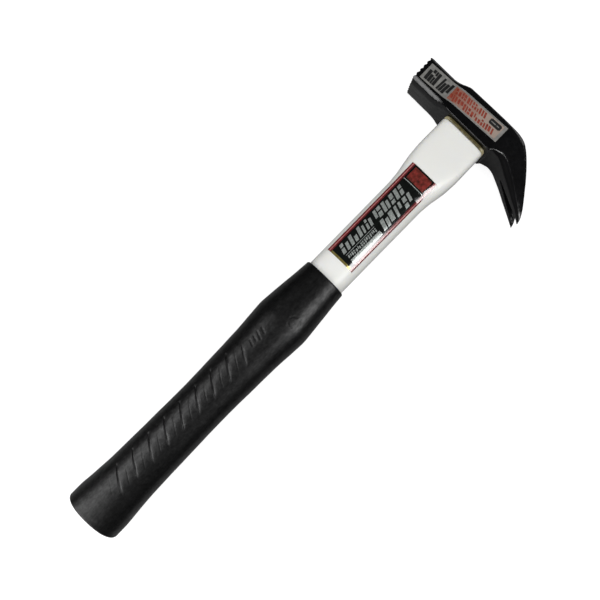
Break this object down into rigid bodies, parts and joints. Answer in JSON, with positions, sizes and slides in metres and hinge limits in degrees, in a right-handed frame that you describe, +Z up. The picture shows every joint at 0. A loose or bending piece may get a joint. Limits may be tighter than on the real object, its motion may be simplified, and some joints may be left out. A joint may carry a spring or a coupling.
{
  "type": "claw hammer",
  "caption": "Short claw hammer with a milled square poll, a split curved claw, a glass-fibre core handle under a white plastic cover, and a grooved rubber grip.",
  "frame": {"origin": "on the lower cheek of the head, straight under the middle of the eye; the hammer lies on its side", "axes": "+X up the handle's axis to the top of the head, +Y towards the striking face, +Z up, out of the labelled cheek"},
  "size_m": [0.3294, 0.1022, 0.0268],
  "materials": {
    "head_steel": "black satin paint over forged steel",
    "core_fibre": "amber glass-fibre bar, cut end showing in the eye",
    "cover_plastic": "warm white moulded plastic, satin",
    "grip_rubber": "matte black rubber with moulded slanted grooves",
    "eye_resin": "cast amber resin",
    "collar_resin": "cast amber resin squeezed out under the head",
    "head_foil": "printed silver foil label",
    "handle_foil": "printed glossy film label, black, red and silver"
  },
  "bodies": {
    "root": {"hammer_head": "head_steel", "glass_fibre_core": "core_fibre", "plastic_cover": "cover_plastic", "rubber_grip": "grip_rubber", "eye_resin": "eye_resin", "resin_collar": "collar_resin", "head_label": "head_foil", "handle_label": "handle_foil"}
  },
  "joints": []
}
